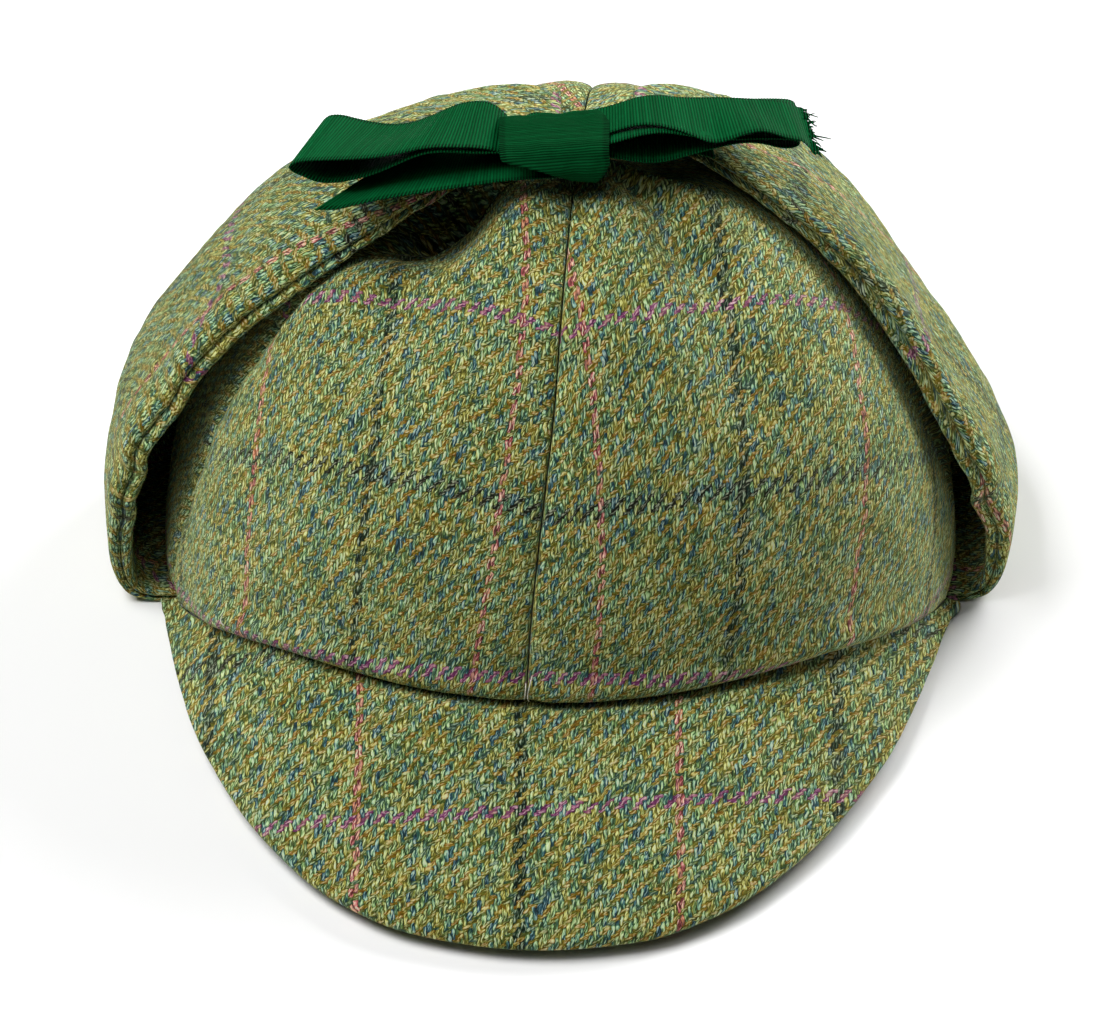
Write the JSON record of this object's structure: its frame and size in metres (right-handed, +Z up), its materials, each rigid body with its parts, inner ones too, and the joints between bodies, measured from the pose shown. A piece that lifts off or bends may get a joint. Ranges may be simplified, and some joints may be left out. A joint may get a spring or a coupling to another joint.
{
  "type": "deerstalker hat",
  "caption": "Checked tweed deerstalker hat with front and back peaks and ear flaps folded up and tied over the crown with a ribbon bow.",
  "frame": {"origin": "on the table under the middle of the hat", "axes": "+Z up through the crown, -Y towards the front peak, +Y towards the back peak, +X and -X towards the ear flaps"},
  "size_m": [0.2166, 0.304, 0.1221],
  "materials": {
    "tweed": "matt woven wool",
    "ribbon": "ribbed grosgrain ribbon"
  },
  "bodies": {
    "root": {"crown_panel_front_left": "tweed", "crown_panel_front_right": "tweed", "crown_panel_side_left": "tweed", "crown_panel_side_right": "tweed", "crown_panel_back_left": "tweed", "crown_panel_back_right": "tweed", "front_peak": "tweed", "back_peak": "tweed", "ear_flap_left": "tweed", "ear_flap_right": "tweed", "bow_knot": "ribbon", "bow_loop_left": "ribbon", "bow_loop_right": "ribbon", "bow_tail_left": "ribbon", "bow_tail_right": "ribbon", "tie_left": "ribbon", "tie_right": "ribbon"}
  },
  "joints": []
}
